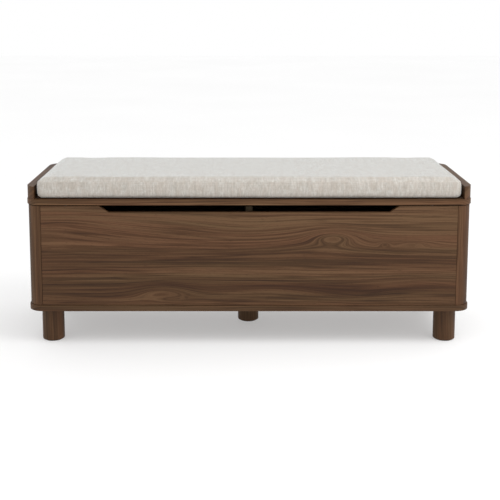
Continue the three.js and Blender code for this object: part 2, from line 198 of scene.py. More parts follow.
def ramp(tree, value, stops):
    """Turns a value into a colour or another value, straight from stop to stop."""
    node = add(tree, "ValToRGB", {0: value})
    band = node.color_ramp
    while len(band.elements) < len(stops):
        band.elements.new(0.5)
    for element, (position, colour) in zip(band.elements, stops):
        element.position = position
        element.color = (*colour, 1.0) if hasattr(colour, "__len__") else (colour, colour, colour, 1.0)
    return node.outputs[0]


def mix(tree, share, a, b, blend="MIX"):
    """Mixes two colours, each a node's output or a constant."""
    node = add(tree, "Mix", data_type="RGBA", blend_type=blend)
    for index, value in ((0, share), (6, a), (7, b)):
        if isinstance(value, bpy.types.NodeSocket):
            tree.links.new(value, node.inputs[index])
        elif index == 0:
            node.inputs[index].default_value = value
        else:
            node.inputs[index].default_value = (*value, 1.0)
    return node.outputs[2]


def dent(tree, shade, height, depth, strength=1.0):
    """Fine relief of a given depth."""
    bump = add(tree, "Bump", {"Height": height, "Strength": strength, "Distance": depth})
    tree.links.new(bump.outputs[0], shade.inputs["Normal"])


# ------------------------------------------------------------------ wood
WALNUT_LIGHT = (0.128, 0.0655, 0.0308)
WALNUT_MIDDLE = (0.072, 0.0332, 0.0134)
WALNUT_DARK = (0.035, 0.0150, 0.0060)
GRAIN_TURN = {"X": (0, 0, 0), "Y": (0, 0, -math.pi / 2), "Z": (0, math.pi / 2, 0)}
# Knots, arches and sags in the front board's veneer, then darker and lighter bands: the two that run the
# whole board make it lighter along the top and darker low down, the rest are shorter.
# Each has its place along and up the board, half length, half height, and the lift of the grain lines or
# the tone.
FRONT_FIGURE = [(0.227, 0.303, 0.066, 0.020, 0.036), (0.215, 0.296, 0.120, 0.034, 0.012),
                (0.130, 0.262, 0.200, 0.040, 0.008),
                (0.440, 0.284, 0.060, 0.010, 0.013), (0.365, 0.282, 0.016, 0.008, 0.011),
                (-0.236, 0.150, 0.075, 0.024, 0.024), (-0.215, 0.128, 0.050, 0.009, -0.012),
                (-0.610, 0.322, 0.330, 0.040, 0.034), (0.010, 0.322, 0.150, 0.034, -0.014),
                (0.060, 0.156, 0.110, 0.018, 0.011), (0.300, 0.140, 0.090, 0.014, -0.009),
                (-0.480, 0.345, 0.110, 0.018, 0.010), (0.460, 0.180, 0.120, 0.020, 0.006)]
FRONT_BANDS = [(0.1, 0.350, 1.4, 0.060, -0.18), (-0.40, 0.238, 0.60, 0.024, 0.15),
               (0.35, 0.238, 0.40, 0.018, 0.10), (0.20, 0.206, 0.42, 0.006, -0.30),
               (-0.38, 0.268, 0.26, 0.005, -0.22), (0.0, 0.150, 1.4, 0.050, 0.14),
               (-0.42, 0.166, 0.36, 0.005, 0.26), (0.14, 0.158, 0.34, 0.006, 0.30),
               (0.227, 0.266, 0.06, 0.02, -0.26), (-0.20, 0.126, 0.10, 0.007, -0.26)]
# How the grain lines drift: blotches to the metre along and across, and how far, in metres.
GRAIN_DRIFT = [((1.3, 3.0, 3.0), 0.050), ((4.5, 12.0, 12.0), 0.011), ((16.0, 60.0, 60.0), 0.0022)]
VEIN_WIDTH = 0.045              # half width of a dark vein, as a part of the noise's range
HAIR_WIDTH = 0.05


def with_bells(tree, value, place, bells):
    """Adds smooth bells to a value; a steep one in the grain's height closes its lines into an eye."""
    for along, up, half_length, half_height, gain in bells:
        scale = (1 / half_length, 0, 1 / half_height)
        offset = stretch(tree, place, scale, shift=(-along / half_length, 0, -up / half_height))
        square = add(tree, "VectorMath", {0: offset, 1: offset}, operation="DOT_PRODUCT").outputs["Value"]
        bell = calc(tree, "EXPONENT", calc(tree, "MULTIPLY", square, -1.0))
        value = calc(tree, "ADD", value, calc(tree, "MULTIPLY", bell, gain))
    return value


def weighted(tree, *terms):
    """Sum of values, each times its own weight."""
    total = calc(tree, "MULTIPLY", *terms[0])
    for value, weight in terms[1:]:
        total = calc(tree, "ADD", total, calc(tree, "MULTIPLY", value, weight))
    return total


def line_at_middle(tree, value, width):
    """A narrow line wherever a noise crosses its middle."""
    return ramp(tree, value, [(0.0, 0.0), (0.5 - width, 0.0), (0.50, 1.0), (0.5 + width, 0.0)])


def walnut(name, along="X", seed=0.0, figure=(), bands=(), wander=1.0, depth=1.0, contrast=1.0):
    """Satin walnut with its grain along one axis. Every pattern follows the height of the grain lines,
    which wander up and down along the board; depth darkens or lightens the whole piece."""
    material, tree, shade = shader(name)
    place = add(tree, "TexCoord").outputs["Object"]
    grain = stretch(tree, place, (1, 1, 1), GRAIN_TURN[along])
    x, y, z = add(tree, "SeparateXYZ", {0: grain}).outputs
    own = stretch(tree, grain, (1, 1, 1), shift=(7.3 * seed, 3.1 * seed, 5.7 * seed))

    height = with_bells(tree, z, grain, [(*bell[:4], -bell[4]) for bell in figure])
    for scale, reach in GRAIN_DRIFT:
        drift = calc(tree, "SUBTRACT", cloud(tree, own, scale, 1.0), 0.5)
        height = calc(tree, "ADD", height, calc(tree, "MULTIPLY", drift, reach * wander))
    lines = add(tree, "CombineXYZ", {0: x, 1: y, 2: height}).outputs[0]
    flow = add(tree, "CombineXYZ", {0: x, 1: y, 2: weighted(tree, (height, 1.0), (y, 0.8))}).outputs[0]
    flow = stretch(tree, flow, (1, 1, 1), shift=(2.9 * seed, 0.0, 1.7 * seed))

    band = cloud(tree, flow, (0.8, 1.5, 34.0), 4.0, 0.68)
    patch = ramp(tree, cloud(tree, own, (3.0, 16.0, 16.0), 2.0), [(0.32, 0.15), (0.62, 1.0)])
    vein = line_at_middle(tree, cloud(tree, flow, (1.9, 2.0, 92.0), 2.0), VEIN_WIDTH)
    hair = line_at_middle(tree, cloud(tree, flow, (2.4, 3.0, 185.0), 1.0), HAIR_WIDTH)
    fine = ramp(tree, cloud(tree, flow, (3.4, 4.0, 235.0), 2.0), [(0.0, 0.0), (0.44, 0.0), (0.62, 1.0)])
    fibre = cloud(tree, flow, (14.0, 700.0, 700.0), 3.0, 0.6)
    veins = calc(tree, "MULTIPLY", vein, patch)
    tone = weighted(tree, (band, 1.00), (veins, 0.40), (hair, 0.30), (fine, 0.36), (fibre, 0.34))
    tone = with_bells(tree, calc(tree, "SUBTRACT", tone, 0.975), lines, bands)
    tone = calc(tree, "ADD", calc(tree, "MULTIPLY", tone, contrast), 0.5)
    tones = (WALNUT_LIGHT, WALNUT_MIDDLE, WALNUT_DARK)
    light, middle, dark = ([channel * depth for channel in tone_colour] for tone_colour in tones)
    colour = ramp(tree, tone, [(0.05, light), (0.5, middle), (1.0, dark)])

    warm = cloud(tree, flow, (1.4, 3.0, 42.0), 2.0)
    warm = ramp(tree, warm, [(0.36, (0.96, 1.03, 1.02)), (0.64, (1.045, 0.965, 0.98))])
    colour = mix(tree, 1.0, colour, warm, "MULTIPLY")
    pore = cloud(tree, flow, (70.0, 1100.0, 1100.0), 1.0)
    pore = ramp(tree, pore, [(0.0, 0.0), (0.62, 0.0), (0.72, 1.0)])
    colour = mix(tree, calc(tree, "MULTIPLY", pore, 0.45), colour, dark)
    tree.links.new(colour, shade.inputs["Base Color"])

    rough = add(tree, "MapRange", {0: fibre, 3: 0.46, 4: 0.60}).outputs[0]
    tree.links.new(rough, shade.inputs["Roughness"])
    shade.inputs["Specular IOR Level"].default_value = 0.18
    dent(tree, shade, weighted(tree, (fibre, 0.4), (pore, -1.0)), 0.10 * MM, 0.5)
    return material


def shade_darkened_board():
    """Matt foil-faced board of the divider, with a faint printed grain; its very dark tone is painted
    shade, for the shade under the lid.
    """
    material, tree, shade = shader("shade_darkened_board")
    place = add(tree, "TexCoord").outputs["Object"]
    grain = cloud(tree, place, (60.0, 3.0, 120.0), 3.0)
    # painted shade: the tone is held very dark to stand for the shade under the lid; the grain is printed
    tone = ramp(tree, grain, [(0.3, (0.034, 0.024, 0.014)), (0.7, (0.050, 0.035, 0.021))])
    tree.links.new(tone, shade.inputs["Base Color"])
    shade.inputs["Roughness"].default_value = 0.75
    shade.inputs["Specular IOR Level"].default_value = 0.1
    dent(tree, shade, grain, 0.05 * MM)
    return material


# ------------------------------------------------------------------ cloth
IVORY = (0.590, 0.568, 0.528)
OATMEAL = (0.375, 0.328, 0.275)
ROSE = (0.455, 0.395, 0.340)
YARN = 2.1 * MM


def oatmeal_weave():
    """Heathered plain weave: slubby yarns both ways, each a little different in colour."""
    material, tree, shade = shader("oatmeal_weave")
    cloth = add(tree, "UVMap", uv_map="cloth").outputs[0]
    wander = add(tree, "TexNoise", {"Vector": cloth, "Scale": 60.0, "Detail": 2.0}).outputs[1]
    wander = add(tree, "VectorMath", {0: wander, 1: (0.5, 0.5, 0.5)}, operation="SUBTRACT").outputs[0]
    wander = add(tree, "VectorMath", {0: wander, "Scale": 2.2 * MM}, operation="SCALE").outputs[0]
    cloth = add(tree, "VectorMath", {0: cloth, 1: wander}, operation="ADD").outputs[0]
    u, v, _ = add(tree, "SeparateXYZ", {0: cloth}).outputs
    wave_u = calc(tree, "SINE", calc(tree, "MULTIPLY", u, math.pi / YARN))
    wave_v = calc(tree, "SINE", calc(tree, "MULTIPLY", v, math.pi / YARN))
    # warp over weft in one square, weft over warp in the next
    over = calc(tree, "MULTIPLY", calc(tree, "MULTIPLY", wave_u, wave_v), 0.5)
    warp = calc(tree, "MULTIPLY", calc(tree, "ABSOLUTE", wave_u), calc(tree, "ADD", 0.5, over))
    weft = calc(tree, "MULTIPLY", calc(tree, "ABSOLUTE", wave_v), calc(tree, "SUBTRACT", 0.5, over))
    height = calc(tree, "MAXIMUM", warp, weft)

    slub_u = cloud(tree, cloth, (330.0, 70.0, 1.0), 3.0, 0.6)
    slub_v = cloud(tree, cloth, (60.0, 360.0, 1.0), 3.0, 0.6)
    fleck = cloud(tree, cloth, (150.0, 110.0, 1.0), 4.0, 0.65)
    tint = cloud(tree, cloth, (60.0, 24.0, 1.0), 2.0)
    cloudy = cloud(tree, cloth, (150.0, 26.0, 1.0), 3.0, 0.7)
    colour = mix(tree, ramp(tree, slub_u, [(0.38, 0.0), (0.72, 0.70)]), IVORY, OATMEAL)
    colour = mix(tree, ramp(tree, slub_v, [(0.46, 0.0), (0.72, 0.6)]), colour, ROSE)
    colour = mix(tree, ramp(tree, fleck, [(0.50, 0.0), (0.68, 0.75)]), colour, IVORY)
    colour = mix(tree, ramp(tree, tint, [(0.36, 0.0), (0.64, 0.55)]), colour, ROSE)
    shadow = ramp(tree, height, [(0.0, 0.62), (0.50, 1.0)])
    colour = mix(tree, 1.0, colour, shadow, "MULTIPLY")
    cast = ramp(tree, cloudy, [(0.34, (0.90, 0.90, 0.89)), (0.66, (1.11, 1.11, 1.11))])
    colour = mix(tree, 1.0, colour, cast, "MULTIPLY")
    tree.links.new(colour, shade.inputs["Base Color"])
    shade.inputs["Roughness"].default_value = 0.95
    shade.inputs["Specular IOR Level"].default_value = 0.12
    shade.inputs["Sheen Weight"].default_value = 1.0
    shade.inputs["Sheen Tint"].default_value = (0.93, 0.98, 1.0, 1.0)
    shade.inputs["Sheen Roughness"].default_value = 0.38
    relief = weighted(tree, (height, 1.0), (fleck, 1.0), (slub_u, 0.6))
    dent(tree, shade, relief, 0.5 * MM, 0.9)
    return material


def tape(name, colour, pitch):
    """Woven tape with fine ribs, and painted shade that darkens the hollows between them."""
    material, tree, shade = shader(name)
    place = add(tree, "TexCoord").outputs["Object"]
    parts = add(tree, "SeparateXYZ", {0: place}).outputs
    rib = calc(tree, "ABSOLUTE", calc(tree, "SINE", calc(tree, "MULTIPLY", parts[0], math.pi / pitch)))
    fuzz = cloud(tree, place, (900.0, 900.0, 900.0), 3.0)
    # painted shade: the colour darkens where the rib is low, in the hollows between ribs; the fuzz
    # darkens it at random
    dark = [channel * 0.6 for channel in colour]
    tone = mix(tree, calc(tree, "MULTIPLY", rib, fuzz), dark, colour)
    tree.links.new(tone, shade.inputs["Base Color"])
    shade.inputs["Roughness"].default_value = 0.95
    dent(tree, shade, calc(tree, "ADD", rib, fuzz), 0.25 * MM)
    return material


def felt():
    """Dark pressed felt."""
    material, tree, shade = shader("pressed_felt")
    place = add(tree, "TexCoord").outputs["Object"]
    fibre = cloud(tree, place, (700.0, 700.0, 700.0), 4.0, 0.7)
    tone = ramp(tree, fibre, [(0.3, (0.020, 0.018, 0.016)), (0.7, (0.060, 0.055, 0.050))])
    tree.links.new(tone, shade.inputs["Base Color"])
    shade.inputs["Roughness"].default_value = 1.0
    dent(tree, shade, fibre, 0.4 * MM)
    return material


# ------------------------------------------------------------------ metal, rubber, floor
def metal(name, bright, dull, rough, brushed=(900.0, 40.0, 40.0), metallic=1.0):
    """Plated or coated metal: fine brushing, and a slightly uneven gloss."""
    material, tree, shade = shader(name)
    place = add(tree, "TexCoord").outputs["Object"]
    brush = cloud(tree, place, brushed, 3.0, 0.6)
    patch = cloud(tree, place, (45.0, 45.0, 45.0), 2.0)
    tree.links.new(mix(tree, patch, bright, dull), shade.inputs["Base Color"])
    gloss = add(tree, "MapRange", {0: brush, 3: rough - 0.08, 4: rough + 0.10}).outputs[0]
    tree.links.new(gloss, shade.inputs["Roughness"])
    shade.inputs["Metallic"].default_value = metallic
    dent(tree, shade, brush, 0.02 * MM)
    return material


def rubber():
    """Soft grey rubber with a dull surface."""
    material, tree, shade = shader("grey_rubber")
    place = add(tree, "TexCoord").outputs["Object"]
    grain = cloud(tree, place, (1400.0, 1400.0, 1400.0), 2.0)
    tree.links.new(ramp(tree, grain, [(0.3, 0.075), (0.7, 0.115)]), shade.inputs["Base Color"])
    shade.inputs["Roughness"].default_value = 0.72
    dent(tree, shade, grain, 0.06 * MM)
    return material


def pale_floor():
    """A pale studio floor that glows a little, so that it stays pale under the bench."""
    material, tree, shade = shader("pale_floor")
    place = add(tree, "TexCoord").outputs["Object"]
    tone = cloud(tree, place, (0.7, 0.7, 0.7), 2.0)
    tree.links.new(ramp(tree, tone, [(0.3, 0.60), (0.7, 0.62)]), shade.inputs["Base Color"])
    shade.inputs["Roughness"].default_value = 0.9
    shade.inputs["Specular IOR Level"].default_value = 0.1
    shade.inputs["Emission Color"].default_value = (1.0, 1.0, 1.0, 1.0)
    shade.inputs["Emission Strength"].default_value = 0.36
    return material


# ------------------------------------------------------------------ mesh helpers
def piece(name, bm, material, body, nodes=(), normals=True):
    """Turns a bmesh into a finished piece that rides on a body and may stand for CAD nodes."""
    if normals:
        bmesh.ops.recalc_face_normals(bm, faces=bm.faces)
    mesh = bpy.data.meshes.new(name)
    bm.to_mesh(mesh)
    bm.free()
    mesh.shade_smooth()
    mesh.set_sharp_from_angle(angle=math.radians(38))
    made = bpy.data.objects.new(name, mesh)
    bpy.context.scene.collection.objects.link(made)
    mesh.materials.append(material)
    flat = made.modifiers.new("flat_faces", "WEIGHTED_NORMAL")
    flat.keep_sharp = True
    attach(made, body)
    if nodes:
        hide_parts(*nodes)
    return made


def box_mesh(low, high):
    """A box between two corners."""
    bm = bmesh.new()
    bmesh.ops.create_cube(bm, size=1.0)
    size = Vector(high) - Vector(low)
    bmesh.ops.scale(bm, vec=size, verts=bm.verts)
    bmesh.ops.translate(bm, vec=(Vector(low) + Vector(high)) / 2, verts=bm.verts)
    return bm


def round_edges(bm, edges, offset, steps):
    bmesh.ops.bevel(bm, geom=list(edges), offset=offset, offset_type="OFFSET", segments=steps,
                    profile=0.5, affect="EDGES", clamp_overlap=True, material=-1)


def upright_edges(bm):
    return [e for e in bm.edges if abs((e.verts[0].co - e.verts[1].co).normalized().z) > 0.99]


def rim_edges(bm, bend=40):
    """Edges where two faces meet at a clear angle."""
    return [e for e in bm.edges if len(e.link_faces) == 2 and e.calc_face_angle() > math.radians(bend)]


def rim_at(bm, level):
    """The sharp edges that lie at one level."""
    return [e for e in rim_edges(bm, 60) if all(abs(v.co.z - level) < LEVEL_SLACK for v in e.verts)]


def rounded_board(low, high, corner, ease):
    """A board with round plan corners and eased edges."""
    bm = box_mesh(low, high)
    round_edges(bm, upright_edges(bm), corner, CORNER_STEPS)
    round_edges(bm, rim_edges(bm), ease, EASE_STEPS)
    return bm


def plain_board(low, high):
    """A board with square corners and eased edges."""
    bm = box_mesh(low, high)
    round_edges(bm, list(bm.edges), WALL_EASE, 2)
    return bm


def round_node(node):
    """Axis, radius, bottom and top of an upright round CAD node."""
    low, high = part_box(node)
    return (low.x + high.x) / 2, (low.y + high.y) / 2, (high.x - low.x) / 2, low.z, high.z


def turned(radius, x, y, low, high, foot=0.0, top=0.0, steps=LEG_STEPS):
    """A round piece on an upright axis, with a rounded lower and upper edge."""
    bm = bmesh.new()
    bmesh.ops.create_cone(bm, cap_ends=True, segments=steps, radius1=radius, radius2=radius,
                          depth=high - low)
    bmesh.ops.translate(bm, vec=(x, y, (low + high) / 2), verts=bm.verts)
    for level, edge in ((low, foot), (high, top)):
        if edge:
            round_edges(bm, rim_at(bm, level), edge, 4)
    return bm


def cut(made, cutters):
    """Takes the cutters' shapes out of a piece for good."""
    for bm in cutters:
        mesh = bpy.data.meshes.new("cutter")
        bm.to_mesh(mesh)
        bm.free()
        tool = bpy.data.objects.new("cutter", mesh)
        bpy.context.scene.collection.objects.link(tool)
        hole = made.modifiers.new("hole", "BOOLEAN")
        hole.operation, hole.solver, hole.object = "DIFFERENCE", "EXACT", tool
        made.modifiers.move(len(made.modifiers) - 1, 0)
        settle(made, "hole")
        bpy.data.objects.remove(tool)


def settle(made, name):
    """Applies one modifier and leaves the rest live."""
    bpy.context.view_layer.update()
    others = [m for m in made.modifiers if m.name != name]
    shown = [m.show_viewport for m in others]
    for modifier in others:
        modifier.show_viewport = False
    depsgraph = bpy.context.evaluated_depsgraph_get()
    mesh = bpy.data.meshes.new_from_object(made.evaluated_get(depsgraph), depsgraph=depsgraph)
    made.modifiers.remove(made.modifiers[name])
    for modifier, state in zip(others, shown):
        modifier.show_viewport = state
    old, made.data = made.data, mesh
    mesh.name = old.name
    bpy.data.meshes.remove(old)
    mesh.set_sharp_from_angle(angle=math.radians(38))


# ------------------------------------------------------------------ the box
def make_bottom(wood):
    """The bottom board, with a recess round each bolt head."""
    low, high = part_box("bottom_plate")
    made = piece("bottom_board", rounded_board(low, high, PLATE_CORNER, PLATE_EASE), wood, "carcass",
                 ["bottom_plate"])
    recesses = []
    for spot in LEG_SPOTS:
        x, y, radius, _, _ = round_node(f"leg_bolt_{spot}")
        radius += RECESS_PLAY
        recesses.append(turned(radius, x, y, high.z - BOLT_RECESS, high.z + OVERCUT, steps=40))
    cut(made, recesses)


def make_posts(wood):
    """Corner posts: quarter-round outside, square inside."""
    for spot, (side_x, side_y) in CORNERS.items():
        node = f"corner_post_{spot}"
        low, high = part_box(node)
        bm = box_mesh(low, high)
        radius = high.x - low.x
        middle_x, middle_y = abs(low.x + high.x) / 2, abs(low.y + high.y) / 2
        starts = [(e, e.verts[0].co) for e in upright_edges(bm)]
        outer = [e for e, co in starts if co.x * side_x > middle_x and co.y * side_y > middle_y]
        round_edges(bm, outer, radius * POST_ROUND, CORNER_STEPS)
        bmesh.ops.remove_doubles(bm, verts=bm.verts, dist=0.1 * MM)
        round_edges(bm, rim_edges(bm, 60), WALL_EASE, 2)
        piece(f"{spot}_post", bm, wood, "carcass", [node])


def make_front(wood):
    """The front board, with the finger slot in its top edge."""
    low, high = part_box("front_panel")
    outline = [(low.x, low.z), (high.x, low.z), (high.x, high.z), (SLOT_TOP / 2, high.z),
               (SLOT_BOTTOM / 2, high.z - SLOT_DEPTH), (-SLOT_BOTTOM / 2, high.z - SLOT_DEPTH),
               (-SLOT_TOP / 2, high.z), (low.x, high.z)]
    bm = bmesh.new()
    face = bm.faces.new([bm.verts.new((x, low.y, z)) for x, z in outline])
    grown = bmesh.ops.extrude_face_region(bm, geom=[face])
    moved = [g for g in grown["geom"] if isinstance(g, bmesh.types.BMVert)]
    bmesh.ops.translate(bm, vec=(0, high.y - low.y, 0), verts=moved)
    bmesh.ops.recalc_face_normals(bm, faces=bm.faces)
    round_edges(bm, rim_edges(bm, 20), SLOT_EASE, EASE_STEPS)
    piece("front_board", bm, wood, "carcass", ["front_panel"])


def make_walls(wood, back_wood, shade_darkened_liner):
    """End boards, the back board with its hinge mortises, and the divider."""
    for side in SIDES:
        node = f"end_panel_{side}"
        low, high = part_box(node)
        piece(f"{side}_end_board", plain_board(low, high), wood, "carcass", [node])
    low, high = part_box("back_panel")
    back = piece("back_board", plain_board(low, high), back_wood, "carcass", ["back_panel"])
    notches = []
    for spot in HINGE_SPOTS:
        leaf_low, leaf_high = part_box(f"hinge_wall_leaf_{spot}")
        pin_low, pin_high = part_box(f"hinge_pin_{spot}")
        play = HINGE_PLAY
        notches.append(box_mesh((leaf_low.x - play, leaf_low.y - play, high.z - LEAF_MORTISE),
                                (leaf_high.x + play, high.y + play, high.z + play)))
        notches.append(box_mesh((pin_low.x - play, leaf_high.y - KNUCKLE_NOTCH, leaf_low.z - play),
                                (pin_high.x + play, high.y + play, high.z + play)))
    cut(back, notches)
    low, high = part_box("centre_divider")
    # the divider gets the board whose very dark tone is painted shade
    piece("divider_board", plain_board(low, high), shade_darkened_liner, "carcass", ["centre_divider"])


def make_legs(wood, pad, steel):
    """Turned legs, each with its felt glide and its bolt."""
    for spot in LEG_SPOTS:
        node = f"leg_{spot}"
        x, y, radius, bottom, top = round_node(node)
        leg = turned(radius, x, y, bottom, top, FOOT_EDGE, LEG_TOP_EDGE)
        piece(f"{spot}_leg", leg, wood, "carcass", [node])
        node = f"foot_glide_{spot}"
        _, _, radius, bottom, top = round_node(node)
        glide = turned(radius, x, y, bottom, top, GLIDE_EDGE, GLIDE_EDGE)
        piece(f"{spot}_glide", glide, pad, "carcass", [node])
        make_bolt(spot, x, y, steel)


def make_bolt(spot, x, y, steel):
    """A leg bolt: its head lies in the bottom board's recess and has a hexagon socket."""
    node = f"leg_bolt_{spot}"
    _, _, radius, _, top = round_node(node)
    head = turned(radius, x, y, top - BOLT_HEAD, top, 0, 0.7 * MM, 48)
    made = piece(f"{spot}_leg_bolt", head, steel, "carcass", [node])
    cut(made, [turned(SOCKET_RADIUS, x, y, top - SOCKET_DEPTH, top + OVERCUT, steps=6)])


# ------------------------------------------------------------------ the lid
def make_lid(wood):
    """The lid board, with notches for the knuckles and recesses for the rails' screws."""
    low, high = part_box("lid_panel")
    made = piece("lid_board", rounded_board(low, high, PLATE_CORNER, PLATE_EASE), wood, "lid",
                 ["lid_panel"])
    cutters = []
    for spot in HINGE_SPOTS:
        pin_low, pin_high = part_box(f"hinge_pin_{spot}")
        leaf_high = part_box(f"hinge_lid_leaf_{spot}")[1]
        play = HINGE_PLAY
        cutters.append(box_mesh((pin_low.x - play, leaf_high.y - KNUCKLE_NOTCH, low.z - OVERCUT),
                                (pin_high.x + play, high.y + OVERCUT, leaf_high.z + play)))
    for spot in CORNERS:
        x, y, radius, bottom, _ = round_node(f"rail_screw_{spot}")
        radius += RECESS_PLAY
        cutters.append(turned(radius, x, y, low.z - OVERCUT, bottom + RAIL_SCREW_RECESS, steps=32))
    cut(made, cutters)


def make_rails(wood):
    """End rails: the two ends of one long rounded board, cut off along straight inner faces."""
    for side, sign in SIDES.items():
        node = f"end_rail_{side}"
        low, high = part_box(node)
        lid_low, lid_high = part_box("lid_panel")
        whole_low = Vector((lid_low.x + RAIL_INSET, lid_low.y + RAIL_INSET, low.z))
        whole_high = Vector((lid_high.x - RAIL_INSET, lid_high.y - RAIL_INSET, high.z))
        bm = box_mesh(whole_low, whole_high)
        round_edges(bm, upright_edges(bm), PLATE_CORNER - RAIL_INSET, 2 * CORNER_STEPS)
        inner = high.x if sign < 0 else low.x
        bmesh.ops.bisect_plane(bm, geom=[*bm.verts, *bm.edges, *bm.faces], plane_co=(inner, 0, 0),
                               plane_no=(-sign, 0, 0), clear_outer=True)
        bmesh.ops.holes_fill(bm, edges=[e for e in bm.edges if len(e.link_faces) == 1])
        bmesh.ops.recalc_face_normals(bm, faces=bm.faces)
        ends = [e for e in upright_edges(bm) if e.calc_face_angle() > math.radians(40)]
        round_edges(bm, ends, RAIL_END_EDGE, 4)
        round_edges(bm, rim_at(bm, high.z), RAIL_EDGE, 5)
        piece(f"{side}_rail", bm, wood, "lid", [node])


# ------------------------------------------------------------------ the cushion
def cushion_shape():
    """The pad before it swells: a box with round corners and edges, just inside its place."""
    low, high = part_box("seat_cushion")
    room = Vector((CUSHION_SIDE_ROOM, CUSHION_SIDE_ROOM, 0))
    bm = box_mesh(low + room, high - room - Vector((0, 0, CUSHION_TOP_ROOM)))
    round_edges(bm, upright_edges(bm), CUSHION_CORNER, 8)
    round_edges(bm, rim_edges(bm), CUSHION_EDGE, 4)
    return bm


def remeshed(made, voxel):
    """Gives the piece one even mesh."""
    grid = made.modifiers.new("grid", "REMESH")
    grid.mode, grid.voxel_size, grid.use_smooth_shade = "VOXEL", voxel, True
    settle(made, "grid")


def swell(made, pressure, cap, floor_level):
    """Blows the pad up a little as cloth. Its underside is held where it rests, and the foam inside
    lets no point move inwards."""
    rest = np.array([v.co for v in made.data.vertices])
    outward = np.array([v.normal for v in made.data.vertices])
    held = made.vertex_groups.new(name="held")
    lowest = np.nonzero(rest[:, 2] < floor_level + HELD_HEIGHT)[0]
    held.add([int(index) for index in lowest], 1.0, "REPLACE")
    cloth = made.modifiers.new("cloth", "CLOTH")
    settings = cloth.settings
    settings.quality = 6
    settings.mass = 0.25
    settings.tension_stiffness = settings.compression_stiffness = 12.0
    settings.shear_stiffness = 8.0
    settings.bending_stiffness = 1.5
    settings.use_pressure = True
    settings.uniform_pressure_force = pressure
    settings.vertex_group_mass = "held"
    settings.effector_weights.gravity = 0.0
    cloth.collision_settings.use_collision = False
    scene = bpy.context.scene
    for number in range(1, SWELL_FRAMES + 1):
        scene.frame_set(number)
    settle(made, "cloth")
    scene.frame_set(1)
    moved = np.array([v.co for v in made.data.vertices]) - rest
    swelling = np.clip((moved * outward).sum(axis=1, keepdims=True), 0.0, cap)
    made.data.vertices.foreach_set("co", (rest + outward * swelling).astype(np.float32).ravel())
    made.data.update()


def cloth_map(mesh):
    """A map in metres: the top and bottom panels, and the band round the sides."""
    layer = mesh.uv_layers.new(name="cloth")
    coordinates = np.array([v.co for v in mesh.vertices])
    for face in mesh.polygons:
        normal = face.normal
        if abs(normal.z) > 0.62:
            first, second = 0, 1
        elif abs(normal.x) > abs(normal.y):
            first, second = 1, 2
        else:
            first, second = 0, 2
        for corner in face.loop_indices:
            place = coordinates[mesh.loops[corner].vertex_index]
            layer.data[corner].uv = (place[first], place[second])


def make_cushion(weave):
    """The pad: an even mesh, swollen as cloth, made finer, sewn and mapped for its weave."""
    low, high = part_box("seat_cushion")
    made = piece("box_cushion", cushion_shape(), weave, "lid", ["seat_cushion"])
    made.modifiers.clear()
    remeshed(made, CUSHION_VOXEL)
    swell(made, PRESSURE, CUSHION_SWELL, low.z)
    finer = made.modifiers.new("finer", "SUBSURF")
    finer.levels = finer.render_levels = 1
    settle(made, "finer")
    sew(made, low, high)
    cloth_map(made.data)
    return made


def seam_loops(mesh, levels):
    """Cuts edge loops round the pad, so that a seam is sharper than the mesh."""
    bm = bmesh.new()
    bm.from_mesh(mesh)
    for level in levels:
        for offset in (-1.0, -0.4, 0.0, 0.4, 1.0):
            bmesh.ops.bisect_plane(bm, geom=[*bm.verts, *bm.edges, *bm.faces], dist=0.05 * MM,
                                   plane_co=(0, 0, level + offset * SEAM_WIDTH), plane_no=(0, 0, 1))
    bmesh.ops.triangulate(bm, faces=[f for f in bm.faces if len(f.verts) > 4])
    bm.to_mesh(mesh)
    bm.free()


def sew(made, low, high):
    """Draws the pad in along its lower and upper seam, puckers it there, and leaves the filling
    slightly uneven."""
    mesh = made.data
    proud = Vector(CUSHION_PROUD)
    seams = {low.z + SEAM_LOW: 1.0, high.z - SEAM_HIGH: 0.55}
    seam_loops(mesh, seams)
    normals = [v.normal.copy() for v in mesh.vertices]
    for vertex, normal in zip(mesh.vertices, normals):
        place = vertex.co.copy()
        side = 1.0 - min(1.0, abs(normal.z) / 0.9)
        for level, share in seams.items():
            gap = (place.z - level) / SEAM_WIDTH
            pinch = math.exp(-gap * gap)
            folds = noise.noise(Vector((place.x * 60, place.y * 60, place.z * 25)))
            pucker = math.exp(-gap * gap / 16) * folds
            place -= normal * side * share * (SEAM_PINCH * pinch + PUCKER * pucker)
        if normal.z > -0.5:
            softness = noise.noise(Vector((place.x * 7, place.y * 9, place.z * 12)))
            place += normal * DENT_HEIGHT * softness
        for axis in range(3):
            place[axis] = min(place[axis], high[axis] + proud[axis])
            place[axis] = max(place[axis], low[axis] - (proud[axis] if axis < 2 else 0.0))
        vertex.co = place
    mesh.update()


ZIP_REACH = 470 * MM            # half its length
ZIP_LEVEL = 22 * MM             # above the pad's underside
ZIP_TAPE = 5.5 * MM             # half height of the tape
ZIP_CHAIN = 1.9 * MM            # half height of the closed coil
ZIP_END = 6 * MM                # tape past each end of the coil
TAPE_LIFT = 0.35 * MM           # of the tape's middle off the cloth
TAPE_THICKNESS = 0.5 * MM
CHAIN_LIFT = 0.9 * MM
SLIDER_INSET = 14 * MM          # from the tape's end
SLIDER_SIZE = (10 * MM, 2.4 * MM, 8 * MM)
PULL_SIZE = (4.4 * MM, 1.2 * MM, 19 * MM)
FAR = 50 * MM                   # behind the pad, where a ray towards it starts


